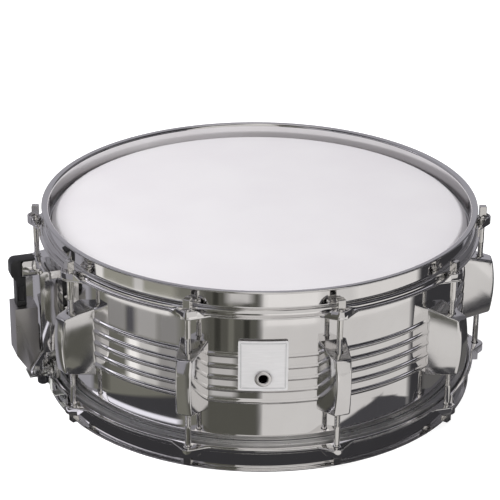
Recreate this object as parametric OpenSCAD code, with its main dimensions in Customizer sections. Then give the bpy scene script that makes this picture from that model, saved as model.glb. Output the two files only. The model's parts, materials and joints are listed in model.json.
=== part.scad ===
// Snare drum, 14 by 5.5 in: beaded chromed steel shell, ten box lugs, two triple-flanged hoops,
// twenty tension rods, throw-off strainer, butt plate and snare wires.
// Origin: on the drum's axis, in the plane of the lower rim. +Z up. The badge faces -Y.
// Azimuths turn from -Y towards +X. "w" is the distance from the axis, "t" runs along the wall.

/* [Shell] */
// Outer radius of the shell's straight wall
shell_r = 177.8; // [177.6:0.1:177.9]
// Thickness of the rolled steel wall
shell_wall = 1.2; // [0.8:0.1:1.4]
// Depth between the two bearing edges
shell_depth = 139.7; // [139.7:0.1:165.1]
// How far the bearing edges turn inwards at 45 degrees
edge_turn = 4; // [3:0.1:4.5]
// Number of rolled beads
bead_count = 5; // [1:1:5]
// Distance from bead to bead
bead_pitch = 10.2; // [8:0.1:10.8]
// Width of one bead
bead_w = 5; // [4:0.1:6]
// How far a bead stands out of the wall
bead_h = 1.5; // [0.6:0.1:1.6]
// Depth of the snare beds in the lower edge
bed_depth = 1.5; // [0.5:0.1:2]
// Width of one snare bed
bed_w = 110; // [80:1:140]

/* [Badge and vent] */
// Width of the badge plate
badge_w = 40; // [30:1:60]
// Height of the badge plate
badge_h = 44; // [30:1:50]
// Height of the badge's centre above the drum's mid-height
badge_z = 12.5; // [10:0.5:14]
// Radius of the vent's bore
vent_r = 3.6; // [2.5:0.1:4.2]
// Height of the vent above the drum's mid-height
vent_z = 1.5; // [0:0.5:3]

/* [Heads] */
// Thickness of the batter film
batter_film_t = 0.4; // [0.25:0.05:0.45]
// Thickness of the snare-side film
snare_film_t = 0.3; // [0.2:0.05:0.35]
// Radial thickness of a flesh hoop
flesh_w = 6.1; // [5.5:0.1:6.2]
// Height of a flesh hoop
flesh_h = 7; // [5:0.1:7.5]

/* [Hoops] */
// Height of each rim above its bearing edge
rim_rise = 10.5; // [9:0.1:12]
// Outer radius of the rim's flange
rim_tip_r = 187; // [186.8:0.1:187.4]
// Inner radius of the hoop's wall
hoop_in_r = 181.2; // [181:0.1:181.4]
// Sheet thickness of the hoops
hoop_t = 1.8; // [1.6:0.1:2]
// Depth from the rim to the step that presses on the flesh hoop
step_d = 17.3; // [17:0.1:17.6]
// Full depth of a hoop
hoop_d = 22.5; // [22.3:0.1:23]
// Outer radius of the hoop's lower flange
flange_r = 190; // [189.6:0.1:190.2]
// Width of a snare gate
gate_w = 40; // [38:1:50]

/* [Lugs and rods] */
// Number of lugs
lug_count = 10; // [6:2:10]
// Radius of the circle on which the rods stand
rod_circle_r = 193; // [192.6:0.1:193.4]
// Height of a lug at its foot
lug_h = 62; // [60:0.5:64]
// Width of a lug at its foot
lug_w = 23.5; // [22:0.5:25]
// Width of a lug's front face
lug_face_w = 12.4; // [12:0.1:14]
// Distance of the front face from the drum's axis, at mid-height
lug_face_r = 206; // [205.5:0.1:207]
// Distance from mid-height to a mounting screw, between two beads
boss_z = 5.1; // [5:0.1:5.2]
// Radius of a rod's thread
rod_r = 2.5; // [2.4:0.05:2.6]
// Width of a rod's square head
head_sq = 6.2; // [5.8:0.1:6.6]
// Height of a rod's square head
head_h = 9; // [8:0.1:9.5]

/* [Strainer] */
// Azimuth of the strainer; the butt plate is opposite
strainer_az = -72; // [-72:36:72]
// Distance of the lever's pivot from the drum's axis
pivot_w = 204; // [203.8:0.1:204.2]
// Height of the pivot, from the drum's mid-height
pivot_z = -46; // [-46.2:0.1:-45.8]
// Radius of the lever's pivot pin
pin_r = 2; // [1.8:0.1:2.2]
// Radius of the tension knob
knob_r = 4.75; // [4.2:0.05:5]

/* [Snares] */
// Number of snare wires
wire_count = 20; // [12:2:20]
// Distance from wire to wire
wire_pitch = 2; // [1.9:0.05:2]
// Radius of one coiled wire
wire_r = 0.9; // [0.6:0.05:0.9]
// Thickness of the snare straps
strap_t = 0.6; // [0.4:0.05:0.7]

/* [Part] */
// Sub-part to draw

/* [Hidden] */
$fn = 96;
total_h = shell_depth + 2 * rim_rise;
mid_z = total_h / 2;
edge_lo = rim_rise;
edge_hi = total_h - rim_rise;
step_ang = 360 / lug_count;
lug_az0 = 18;
butt_az = strainer_az + 180;
fit = 0.05;
seat = 0.02;
far = 600;

// bends of the pressed hoops
bend_in = 1;
bend_out = bend_in + hoop_t;
tip = hoop_t / 2;

// radii stacked outwards from the shell
crest_r = shell_r + bead_h;
pad_r = crest_r + 0.5;
film_in = shell_r + 0.5;
flesh_in = film_in + batter_film_t + fit;
wall_in = shell_r - shell_wall;

// steel pieces on a rod, from mid-height upwards
ear_top = mid_z - hoop_d + hoop_t;
ear_lip_h = 5.5;
ear_lip_t = 1.3;
washer_h = 1.2;
washer_r = 5.4;
washer_lift = 0.1;
collar_z = ear_top + washer_h + 0.3;
collar_h = 2.25;
collar_r = 5.2;
neck_h = 1.6;
neck_r = 3.6;
rod_tip_z = 12.5;
nut_z0 = 13;
nut_z1 = 23.3;
nut_r = 4.8;
nut_collar_r = 5.3;
nut_collar_h = 2;
screw_r = 2;
screw_head_r = 3.8;
screw_head_h = 2.6;
screw_washer_r = 4.8;
screw_washer_h = 0.8;
screw_clear = 0.3;
butt_screw_turn = 3.87;
butt_screw_z = -31;

// lug casting
lug_end_drop = 6;
lug_wall = 2.2;
lug_barrel = 2.6;
lug_chamfer = 1.4;
boss_r = 3.4;

// strainer
rail_in = 12;
rail_out = 15;
ear_out = 14.5;
house_lo = -30;
house_hi = 45;
house_back = 183;
house_front = 198;
lip_w = 196.4;
drop = 4.5;
carriage_half = 11.6;
carriage_back = 183.4;
carriage_front = 196;
foot_lo = -51.5;
foot_hi = -36;
foot_back = 185.2;
jaw_face = 190.5;
jaw_half = 23;
strap_w = 191.35;
strap_a = 7;
strap_b = 16;
clamp_in = 192.2;
clamp_out = 194.2;
clamp_lo = -51.5;
clamp_hi = -41;
clamp_screw_t = 19.8;
clamp_screw_z = -46.5;
clamp_head_r = 3.4;
clamp_head_h = 2.1;
adjust_w = 195.5;
nose_lo = -56;
nose_half = 5.5;
cam_len = 8.1;
cam_tip_r = 1.5;
cam_ang = 30;
lever_in = 9.8;
lever_out = 11.4;
lever_back = 200.2;
lever_front = 219.5;
lever_top = 12;
sheet = 1.6;
grip_half = 6;
tang_half = 3.2;
tang_top = 33;
block_top = 52.5;
block_lo = 39;
block_front = 211;
block_back = 199;

// snares
wire_z = -71.5;
wire_len = 316;
plate_half = 22;
plate_w0 = 146;
plate_w1 = 164;
plate_t = 0.8;
plate_top = wire_z - wire_r - seat;
strap_z = plate_top + seat + strap_t / 2;
strap_bend = 4;
strap_start = 160;
strap_top = -41.5;

// points on an arc
function arc(c, r, a0, a1, n = 6) =
    [for (i = [0:n]) [c[0] + r * cos(a0 + (a1 - a0) * i / n), c[1] + r * sin(a0 + (a1 - a0) * i / n)]];

// one bead's outline, as points up the wall at a radius
function bead(z, r, n = 10) =
    [for (i = [0:n]) [r + bead_h * (0.5 - 0.5 * cos(360 * i / n)), z + bead_w * (i / n - 0.5)]];

function bead_z(i) = mid_z + (i - (bead_count - 1) / 2) * bead_pitch;

// the wall's outline from the lower bearing edge to the upper one
function wall_line(r) = [for (i = [0:bead_count - 1]) each bead(bead_z(i), r)];

function reversed(p) = [for (i = [len(p) - 1:-1:0]) p[i]];

function lug_az(k) = lug_az0 + (k - 1) * step_ang;

// turns a piece built at -Y to its azimuth
module at_az(a) { rotate([0, 0, a]) children(); }

// raises a piece drawn about the drum's mid-height
module mid() { translate([0, 0, mid_z]) children(); }

// turns the upper half's pieces over into the lower half
module lower_half() { translate([0, 0, total_h]) mirror([0, 0, 1]) children(); }

// a (w, z) outline carried along t over a centred width
module side(width) { rotate([0, 0, -90]) rotate([90, 0, 0]) linear_extrude(width, center = true) children(); }

// a (t, z) outline carried outwards between two radii
module outwards(w0, w1) { translate([0, -w0, 0]) rotate([90, 0, 0]) linear_extrude(w1 - w0) children(); }

// a round bar pointing outwards at (t, z)
module radial_bar(r, w0, w1, t, z) { translate([t, -w0, z]) rotate([90, 0, 0]) cylinder(r = r, h = w1 - w0, $fn = 48); }

// a round bar lying along t at (w, z)
module cross_bar(r, width, w, z) { translate([0, -w, z]) rotate([0, 90, 0]) cylinder(r = r, h = width, center = true, $fn = 48); }

module box_wz(width, w0, w1, z0, z1) { translate([-width / 2, -w1, z0]) cube([width, w1 - w0, z1 - z0]); }

module rounded_rect(w, h, r) {
    square([w - 2 * r, h], center = true);
    square([w, h - 2 * r], center = true);
    for (x = [-1, 1])
        for (y = [-1, 1])
            translate([x * (w / 2 - r), y * (h / 2 - r)]) circle(r, $fn = 32);
}

// the room that the shell's wall and its beads take, for the pads that sit over them
module inside_shell() {
    h = bead_w / 2 + 0.2;
    groove = [for (i = [0:bead_count - 1]) let (z = bead_z(i)) each
        [[shell_r + fit, z - h], [crest_r + fit, z - h + 0.8], [crest_r + fit, z + h - 0.8], [shell_r + fit, z + h]]];
    rotate_extrude()
        polygon(concat([[0, edge_lo]], [[shell_r + fit, edge_lo]], groove, [[shell_r + fit, edge_hi]], [[0, edge_hi]]));
}

module shell() {
    lip = shell_wall * 1.414;
    color([0.80, 0.80, 0.81])
    difference() {
        rotate_extrude()
            polygon(concat(
                [[shell_r - edge_turn, edge_lo]],
                [[shell_r, edge_lo + edge_turn]],
                wall_line(shell_r),
                [[shell_r, edge_hi - edge_turn]],
                [[shell_r - edge_turn, edge_hi]],
                [[shell_r - edge_turn - lip, edge_hi]],
                [[wall_in, edge_hi - edge_turn - lip + shell_wall]],
                reversed(wall_line(wall_in)),
                [[wall_in, edge_lo + edge_turn + lip - shell_wall]],
                [[shell_r - edge_turn - lip, edge_lo]]));
        snare_beds();
        mid() screw_places() radial_bar(screw_r + screw_clear, 170, 182, 0, 0);
        mid() vent_punch();
    }
}

// the vent's twelve-sided opening in the wall, which the grommet's flanges cover
module vent_punch() {
    translate([0, -170, vent_z]) rotate([90, 0, 0]) cylinder(r = vent_r + 1.8, h = 12, $fn = 12);
}

// shallow saddles across the lower bearing edge, on the line of the snares
module snare_beds() {
    bed_r = (bed_w * bed_w / 4 + bed_depth * bed_depth) / (2 * bed_depth);
    at_az(strainer_az)
        translate([0, 0, edge_lo + bed_depth - bed_r])
            rotate([90, 0, 0]) cylinder(r = bed_r, h = far, center = true);
}

// the places of all the screws that pass the shell, in the mid-height frame
module screw_places() {
    for (k = [1:lug_count])
        for (s = [-1, 1])
            at_az(lug_az(k)) translate([0, 0, s * boss_z]) children();
    for (z = [-22, 26, 36])
        at_az(strainer_az) translate([0, 0, z]) children();
    for (s = [-1, 1])
        at_az(butt_az + s * butt_screw_turn) translate([0, 0, butt_screw_z]) children();
}

module vent_grommet() {
    color([0.78, 0.78, 0.79])
    mid()
    difference() {
        union() {
            radial_bar(vent_r + 1.5, 175.4, crest_r + 2.2, 0, vent_z);
            radial_bar(vent_r + 3.4, crest_r + 0.75, crest_r + 2.2, 0, vent_z);
            radial_bar(vent_r + 3.4, 175.4, wall_in - 0.1, 0, vent_z);
        }
        radial_bar(vent_r, 170, 190, 0, vent_z);
    }
}

module badge() {
    color([0.86, 0.86, 0.87])
    mid()
    difference() {
        intersection() {
            translate([0, 0, badge_z - badge_h / 2])
            difference() {
                cylinder(r = crest_r + 0.65, h = badge_h);
                translate([0, 0, -1]) cylinder(r = crest_r + 0.05, h = badge_h + 2);
            }
            outwards(150, 190) translate([0, badge_z]) rounded_rect(badge_w, badge_h, 1.5);
        }
        radial_bar(vent_r + 1.7, 150, 190, 0, vent_z);
    }
}

// a head's film, drawn for the upper half
module film(t) {
    collar_lo = total_h - step_d - flesh_h + 0.4;
    corner = edge_hi - edge_turn - (film_in - shell_r);
    translate([0, 0, seat])
    rotate_extrude()
        polygon([
            [0, edge_hi],
            [shell_r - edge_turn, edge_hi],
            [film_in, corner],
            [film_in, collar_lo],
            [film_in + t, collar_lo],
            [film_in + t, corner + t * 0.414],
            [shell_r - edge_turn + t * 0.414, edge_hi + t],
            [0, edge_hi + t]]);
}

module flesh_ring() {
    top = total_h - step_d - fit;
    rotate_extrude()
        polygon(concat(
            [[flesh_in, top - flesh_h]],
            [[flesh_in + flesh_w, top - flesh_h]],
            arc([flesh_in + flesh_w - 2, top - 2], 2, 0, 90),
            arc([flesh_in + 2, top - 2], 2, 90, 180)));
}

// a triple-flanged hoop, drawn for the upper half
module hoop_ring() {
    hi = total_h;
    lo = total_h - hoop_d;
    skirt_in = flange_r - 4.8;
    skirt_out = skirt_in + hoop_t;
    rotate_extrude()
        polygon(concat(
            arc([skirt_in + bend_out, lo + bend_out], bend_out, 270, 180),
            arc([skirt_in - bend_in, hi - step_d - bend_in], bend_in, 0, 90),
            arc([hoop_in_r + bend_out, hi - step_d + bend_out], bend_out, 270, 180),
            arc([hoop_in_r + bend_out, hi - bend_out], bend_out, 180, 90),
            arc([rim_tip_r - tip, hi - tip], tip, 90, -90),
            arc([hoop_in_r + bend_out, hi - bend_out], bend_in, 90, 180),
            arc([hoop_in_r + bend_out, hi - step_d + bend_out], bend_in, 180, 270),
            arc([skirt_out - bend_out, hi - step_d + hoop_t - bend_out], bend_out, 90, 0),
            arc([skirt_in + bend_out, lo + bend_out], bend_in, 180, 270),
            arc([flange_r - tip, lo + tip], tip, 90, -90)));
}

// the plan of one ear: a rounded triangle around its rod
module ear_plan(r, half, foot) {
    d = rod_circle_r - foot;
    reach = sqrt(half * half + d * d);
    a = acos(r / reach) + atan2(-d, half);
    polygon([
        [-half, -foot],
        [half, -foot],
        [r * cos(a), -rod_circle_r - r * sin(a)],
        [-r * cos(a), -rod_circle_r - r * sin(a)]]);
    translate([0, -rod_circle_r]) circle(r);
}

// the turned edge of an ear, rising from the flange to its full height at the nose
module ear_lip() {
    top = hoop_t + ear_lip_h;
    intersection() {
        linear_extrude(top)
            difference() {
                ear_plan(7.2, 18, 188);
                ear_plan(7.2 - ear_lip_t, 15.5, 188);
            }
        side(40) polygon([[190.5, hoop_t - 0.5], [190.5, hoop_t], [196, top], [202, top], [202, hoop_t - 0.5]]);
    }
}

module hoop() {
    lo = total_h - hoop_d;
    difference() {
        union() {
            hoop_ring();
            for (k = [1:lug_count])
                at_az(lug_az(k)) {
                    difference() {
                        translate([0, 0, lo]) linear_extrude(hoop_t) ear_plan(7.2, 18, 188);
                        translate([0, 0, lo - 1]) cylinder(r = 188.2, h = 5);
                    }
                    translate([0, 0, lo]) ear_lip();
                }
        }
        for (k = [1:lug_count])
            at_az(lug_az(k))
                translate([0, -rod_circle_r, lo - 1]) cylinder(r = rod_r + 0.7, h = 5, $fn = 48);
    }
}

module batter_hoop() {
    color([0.80, 0.80, 0.81]) hoop();
}

module snare_side_hoop() {
    color([0.80, 0.80, 0.81])
    difference() {
        lower_half() hoop();
        for (a = [strainer_az, butt_az])
            mid() at_az(a) outwards(178, 184.2) translate([0, -72.3]) rounded_rect(gate_w, 11.4, 3);
    }
}

module batter_head_film() { color([0.95, 0.94, 0.96]) film(batter_film_t); }

module snare_head_film() { color([0.85, 0.86, 0.88, 0.5]) lower_half() film(snare_film_t); }

module batter_flesh_hoop() { color([0.72, 0.72, 0.73]) flesh_ring(); }

module snare_flesh_hoop() { color([0.72, 0.72, 0.73]) lower_half() flesh_ring(); }

// outline of a lug in plan, inset by d
module lug_plan(d) {
    foot = lug_w / 2 - d;
    face = lug_face_w / 2 - d * 0.9;
    front = lug_face_r - d;
    c = lug_chamfer;
    polygon([
        [-foot, -178], [foot, -178], [face + 0.3, -front + c],
        [face - c, -front], [-face + c, -front], [-face - 0.3, -front + c]]);
}

// outline of a lug seen from its side, inset by d
module lug_side(d) {
    foot = lug_h / 2 - d;
    face = foot - lug_end_drop;
    n = 12;
    front = [for (i = [0:n]) let (u = 2 * i / n - 1) [lug_face_r - d - lug_barrel * u * u, face * u]];
    polygon(concat([[178, foot]], [[178, -foot]], front));
}

module lug_form(d) {
    intersection() {
        translate([0, 0, -lug_h / 2]) linear_extrude(lug_h) lug_plan(d);
        side(40) lug_side(d);
    }
}

module lug(k) {
    color([0.80, 0.80, 0.81])
    mid() at_az(lug_az(k))
    difference() {
        union() {
            difference() {
                lug_form(0);
                lug_form(lug_wall);
            }
            for (s = [-1, 1])
                radial_bar(boss_r, 178, lug_face_r - 1.2, 0, s * boss_z);
        }
        translate([0, 0, -lug_h]) cylinder(r = pad_r, h = 2 * lug_h);
        for (s = [-1, 1])
            radial_bar(screw_r + fit, 170, 199, 0, s * boss_z);
        for (s = [0, 1])
            mirror([0, 0, s]) translate([0, -rod_circle_r, nut_z0]) cylinder(r = rod_r + 0.8, h = 30, $fn = 48);
    }
}

// one tension rod, standing at its lug
module rod(k) {
    at_az(lug_az(k)) translate([0, -rod_circle_r, mid_z]) {
        z1 = collar_z + collar_h;
        z2 = z1 + neck_h;
        translate([0, 0, rod_tip_z + 1]) cylinder(r = rod_r, h = collar_z - rod_tip_z, $fn = 48);
        translate([0, 0, rod_tip_z]) cylinder(r1 = rod_r - 0.8, r2 = rod_r, h = 1, $fn = 48);
        translate([0, 0, collar_z]) cylinder(r = collar_r, h = collar_h, $fn = 48);
        translate([0, 0, z1]) cylinder(r = neck_r, h = neck_h, $fn = 48);
        translate([-head_sq / 2, -head_sq / 2, z2]) cube([head_sq, head_sq, head_h]);
    }
}

module batter_rod(k) { color([0.78, 0.78, 0.79]) rod(k); }

module snare_rod(k) { color([0.78, 0.78, 0.79]) lower_half() rod(k); }

// repeats a piece at every rod, above and below
module at_rods() {
    for (k = [1:lug_count])
        for (s = [0, 1])
            mid() mirror([0, 0, s]) at_az(lug_az(k)) translate([0, -rod_circle_r, 0]) children();
}

module tube(r_in, r_out, z0, z1) {
    difference() {
        translate([0, 0, z0]) cylinder(r = r_out, h = z1 - z0, $fn = 48);
        translate([0, 0, z0 - 1]) cylinder(r = r_in, h = z1 - z0 + 2, $fn = 48);
    }
}

module swivel_nuts() {
    color([0.75, 0.72, 0.60])
    at_rods()
    difference() {
        union() {
            translate([0, 0, nut_z0]) cylinder(r = nut_r, h = nut_z1 - nut_z0, $fn = 48);
            translate([0, 0, nut_z1 - nut_collar_h]) cylinder(r = nut_collar_r, h = nut_collar_h, $fn = 48);
        }
        translate([0, 0, nut_z0 - 1]) cylinder(r = rod_r + fit, h = 20, $fn = 48);
    }
}

module nut_retainers() {
    color([0.2, 0.2, 0.2])
    at_rods() tube(nut_r + fit, nut_r + 0.9, nut_z0 + 1, nut_z1 - nut_collar_h - fit);
}

module rod_washers() {
    color([0.78, 0.78, 0.79])
    at_rods() tube(rod_r + 0.5, washer_r, ear_top + washer_lift, ear_top + washer_h);
}

// a pad between the shell and a fitting, moulded over the beads
module gaskets() {
    color([0.12, 0.12, 0.12])
    difference() {
        intersection() {
            mid() {
                for (k = [1:lug_count])
                    at_az(lug_az(k)) outwards(170, 185) rounded_rect(lug_w + 1, lug_h + 1, 1.5);
                at_az(strainer_az)
                    outwards(170, 185)
                        translate([0, (house_lo + house_hi) / 2])
                            rounded_rect(2 * rail_out + 1, house_hi - house_lo + 1, 1.5);
                at_az(butt_az)
                    outwards(170, 185) translate([0, -39]) rounded_rect(2 * jaw_half + 1, 31, 1.5);
            }
            cylinder(r = pad_r - seat, h = total_h);
        }
        inside_shell();
        mid() screw_places() radial_bar(screw_r + screw_clear, 170, 190, 0, 0);
    }
}

// one screw from inside the shell, reaching out to w1
module shell_screw(w1, t, z) {
    seat_w = wall_in - 0.1 - screw_washer_h;
    radial_bar(screw_r, seat_w - 1, w1, t, z);
    difference() {
        radial_bar(screw_head_r, seat_w - screw_head_h, seat_w - seat, t, z);
        translate([t - 0.6, -seat_w + 1.6, z - 4]) cube([1.2, 4, 8]);
        translate([t - 4, -seat_w + 1.6, z - 0.6]) cube([8, 4, 1.2]);
    }
}

module shell_screws() {
    color([0.75, 0.75, 0.76])
    mid() {
        for (k = [1:lug_count])
            for (s = [-1, 1])
                at_az(lug_az(k)) shell_screw(194, 0, s * boss_z);
        at_az(strainer_az) shell_screw(house_back - 0.3, 0, -22);
        for (z = [26, 36])
            at_az(strainer_az) shell_screw(190, 0, z);
        for (s = [-1, 1])
            at_az(butt_az + s * butt_screw_turn) shell_screw(187, 0, butt_screw_z);
    }
}

module shell_screw_washers() {
    color([0.75, 0.75, 0.76])
    mid() screw_places()
    difference() {
        radial_bar(screw_washer_r, wall_in - 0.1 - screw_washer_h, wall_in - 0.1, 0, 0);
        radial_bar(screw_r + 0.2, 170, 180, 0, 0);
    }
}

// places a strainer or butt piece: its own w points outwards and z counts from mid-height
module at_strainer() { mid() at_az(strainer_az) children(); }

module at_butt() { mid() at_az(butt_az) children(); }

module strainer_housing() {
    color([0.80, 0.80, 0.81])
    at_strainer()
    difference() {
        union() {
            box_wz(2 * rail_out, 178, house_back, house_lo, house_hi);
            for (s = [-1, 1]) {
                translate([s * (rail_in + rail_out) / 2, 0, 0])
                    side(rail_out - rail_in)
                        polygon([[182, house_lo], [house_front, house_lo], [house_front, 42], [195, house_hi], [182, house_hi]]);
                translate([s * (9 + rail_in) / 2, 0, 0])
                    box_wz(rail_in - 9 + 0.6, lip_w, house_front, house_lo, -7);
                translate([s * (rail_in + ear_out) / 2, 0, 0])
                    side(ear_out - rail_in) {
                        polygon([[189, house_lo + 2], [house_front, house_lo + 2], [208.6, -44.2], [199.8, -48.7], [189, house_lo]]);
                        translate([pivot_w, pivot_z]) circle(5);
                    }
            }
            side(2 * rail_in + 1)
                polygon([[lip_w, -8], [house_front, -8], [house_front, 42], [195, house_hi], [194, 43], [lip_w, 40.5]]);
            side(2 * rail_in + 1) polygon([[182, 40], [house_front, 40], [house_front, 42], [195, house_hi], [182, house_hi]]);
            side(2 * grip_half)
                polygon([[193, block_lo + 2], [198, block_lo], [block_front, block_lo], [block_front, block_top - 1.5],
                    [block_front - 1.5, block_top], [block_back + 1.5, block_top], [block_back, block_top - 1.5],
                    [block_back, 44.5], [193, 43.5]]);
        }
        translate([0, 0, -100]) cylinder(r = pad_r, h = 200);
        cross_bar(pin_r + 0.02, 60, pivot_w, pivot_z);
        for (z = [-22, 26, 36])
            radial_bar(screw_r + fit, 170, house_back + 1, 0, z);
    }
}

module throw_off_lever() {
    tip_w = pivot_w + cam_len * sin(cam_ang);
    tip_z = pivot_z + cam_len * cos(cam_ang);
    cx = cam_tip_r * cos(cam_ang);
    cz = cam_tip_r * sin(cam_ang);
    color([0.80, 0.80, 0.81])
    at_strainer()
    difference() {
        union() {
            for (s = [-1, 1])
                translate([s * (lever_in + lever_out) / 2, 0, 0])
                    side(lever_out - lever_in)
                        polygon([
                            [lever_back, lever_top], [lever_back, -49.2], [202.5, -52], [206.5, -52],
                            [lever_front, -31.5], [lever_front, lever_top]]);
            box_wz(2 * lever_out, lever_front - sheet, lever_front, -31.5, lever_top);
            box_wz(2 * lever_out, lever_back, lever_front, lever_top - sheet, lever_top);
            box_wz(2 * tang_half, 209, 213, lever_top - 1, tang_top);
            cross_bar(4, 2 * lever_out, pivot_w, pivot_z);
            side(10) {
                polygon([
                    [pivot_w - cx, pivot_z + cz], [pivot_w + cx, pivot_z - cz],
                    [tip_w + cx, tip_z - cz], [tip_w - cx, tip_z + cz]]);
                translate([tip_w, tip_z]) circle(cam_tip_r, $fn = 32);
            }
        }
        cross_bar(pin_r + fit, 60, pivot_w, pivot_z);
    }
}

module lever_grip() {
    color([0.06, 0.06, 0.065])
    at_strainer()
    difference() {
        side(2 * grip_half)
            polygon(concat(
                [[208.2, lever_top + 0.1]],
                [[216.5, lever_top + 0.1]],
                [[216.5, 35]],
                arc([216, 42], 4.5, -50, 0),
                arc([215.5, 49.3], 5, 0, 90),
                arc([200, 53.6], 0.7, 90, 180, 4),
                [[199.3, block_top + 0.4]],
                [[block_front + 0.4, block_top + 0.4]],
                [[block_front + 0.4, block_lo - 0.5]],
                [[208.2, block_lo - 0.5]]));
        box_wz(2 * tang_half + 0.2, 208.9, 213.1, lever_top - 1, tang_top + 0.2);
        for (s = [-1, 1])
            translate([s * grip_half, 0, 0]) side(2.4) polygon([[209.8, 17], [215.2, 17], [215.2, 31], [209.8, 31]]);
    }
}

module lever_pin() {
    color([0.72, 0.72, 0.73])
    at_strainer() {
        cross_bar(pin_r, 2 * ear_out + 1, pivot_w, pivot_z);
        for (s = [-1, 1])
            translate([s * (ear_out + 0.85), 0, 0]) cross_bar(pin_r + 1.2, 1.6, pivot_w, pivot_z);
    }
}

// the sliding block that carries the snare clamp
module snare_carriage() {
    color([0.76, 0.76, 0.77])
    at_strainer()
    difference() {
        union() {
            box_wz(2 * carriage_half, carriage_back, carriage_front, foot_hi - 1, 10);
            box_wz(2 * jaw_half, foot_back, jaw_face, foot_lo, foot_hi);
            box_wz(12, carriage_front - 1, 210.5, -37.2, -33.2);
            side(2 * nose_half)
                polygon([[188, foot_lo], [188, -48], [199.3, -48], [199.3, nose_lo], [192, nose_lo], [192, foot_lo]]);
            box_wz(15, 192, 208.5, nose_lo, nose_lo + 1.8);
        }
        translate([0, -adjust_w, nose_lo - 1]) cylinder(r = screw_r + fit, h = 12, $fn = 48);
        for (s = [-1, 1])
            radial_bar(screw_r + seat, 180, 195, s * clamp_screw_t, clamp_screw_z);
    }
}

// a bar that presses the straps against a jaw, notched at its centre
module clamp_bar() {
    difference() {
        box_wz(2 * jaw_half, clamp_in, clamp_out, clamp_lo, clamp_hi);
        box_wz(2 * nose_half + 1, clamp_in - 1, clamp_out + 1, clamp_lo - 1, -44.5);
        for (s = [-1, 1])
            radial_bar(screw_r + 0.2, 180, 200, s * clamp_screw_t, clamp_screw_z);
    }
}

module clamp_screws() {
    for (s = [-1, 1])
        difference() {
            union() {
                radial_bar(screw_r, 186, clamp_out + 1, s * clamp_screw_t, clamp_screw_z);
                radial_bar(clamp_head_r, clamp_out + seat, clamp_out + clamp_head_h, s * clamp_screw_t, clamp_screw_z);
            }
            translate([s * clamp_screw_t - 0.5, -clamp_out - 4, clamp_screw_z - 4]) cube([1, 3, 8]);
        }
}

module strainer_clamp_plate() { color([0.80, 0.80, 0.81]) at_strainer() clamp_bar(); }

module strainer_clamp_screws() { color([0.72, 0.72, 0.73]) at_strainer() clamp_screws(); }

module tension_knob() {
    flutes = 16;
    color([0.14, 0.14, 0.15])
    at_strainer()
    translate([0, -adjust_w, nose_lo - 0.4])
    mirror([0, 0, 1])
    difference() {
        union() {
            cylinder(r = knob_r, h = 8.4);
            translate([0, 0, 8.4]) cylinder(r1 = knob_r, r2 = knob_r - 1.2, h = 1.2);
        }
        for (i = [0:flutes - 1])
            rotate([0, 0, i * 360 / flutes]) translate([knob_r + 0.35, 0, 1.6]) cylinder(r = 0.75, h = 10, $fn = 24);
        translate([0, 0, -1]) cylinder(r = screw_r - 0.3 + 0.02, h = 7, $fn = 48);
    }
}

module adjusting_screw() {
    color([0.75, 0.75, 0.76])
    at_strainer()
    translate([0, -adjust_w, 0]) {
        translate([0, 0, nose_lo - 6]) cylinder(r = screw_r - 0.3, h = 8, $fn = 48);
        translate([0, 0, nose_lo - 0.3]) cylinder(r = screw_r, h = 10.8, $fn = 48);
    }
}

module butt_plate() {
    color([0.80, 0.80, 0.81])
    at_butt()
    difference() {
        side(2 * jaw_half) polygon([[178, -54], [jaw_face, -54], [jaw_face, -31], [186, -24], [178, -24]]);
        translate([0, 0, -100]) cylinder(r = pad_r, h = 200);
        for (s = [-1, 1])
            rotate([0, 0, s * butt_screw_turn]) radial_bar(screw_r + fit, 170, 188, 0, butt_screw_z);
        for (s = [-1, 1])
            radial_bar(screw_r + seat, 184, 195, s * clamp_screw_t, clamp_screw_z);
    }
}

module butt_clamp_plate() { color([0.80, 0.80, 0.81]) at_butt() clamp_bar(); }

module butt_clamp_screws() { color([0.72, 0.72, 0.73]) at_butt() clamp_screws(); }

// the snares lie along the line from the strainer to the butt plate
module snare_wires() {
    color([0.78, 0.78, 0.79])
    at_strainer()
    for (i = [0:wire_count - 1])
        translate([(i - (wire_count - 1) / 2) * wire_pitch, 0, wire_z])
            rotate([90, 0, 0]) cylinder(r = wire_r, h = wire_len, center = true, $fn = 24);
}

module snare_end_plates() {
    color([0.74, 0.74, 0.75])
    for (a = [strainer_az, butt_az])
        mid() at_az(a)
        difference() {
            box_wz(2 * plate_half, plate_w0, plate_w1, plate_top - plate_t, plate_top);
            for (s = [-1, 1])
                translate([s * (strap_a + strap_b) / 2, -plate_w1 + 2, plate_top - 3])
                    linear_extrude(5) rounded_rect(strap_b - strap_a, 1.6, 0.7);
        }
}

// a block in (w, z) whose lower outer corner is rounded
module corner_block(w0, w1, z0, z1, r) {
    translate([w0, z0]) square([w1 - r - w0, z1 - z0]);
    translate([w0, z0 + r]) square([w1 - w0, z1 - z0 - r]);
    translate([w1 - r, z0 + r]) circle(r, $fn = 64);
}

// one strap's outline: along the head, around a bend and up to the clamp
module strap_line() {
    h = strap_t / 2;
    difference() {
        corner_block(strap_start, strap_w + h, strap_z - h, strap_top, strap_bend + h);
        corner_block(strap_start - 1, strap_w - h, strap_z + h, strap_top + 1, strap_bend - h);
    }
}

module snare_straps() {
    color([0.88, 0.88, 0.86])
    for (a = [strainer_az, butt_az])
        for (s = [-1, 1])
            mid() at_az(a) translate([s * (strap_a + strap_b) / 2, 0, 0]) side(strap_b - strap_a) strap_line();
}

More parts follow.
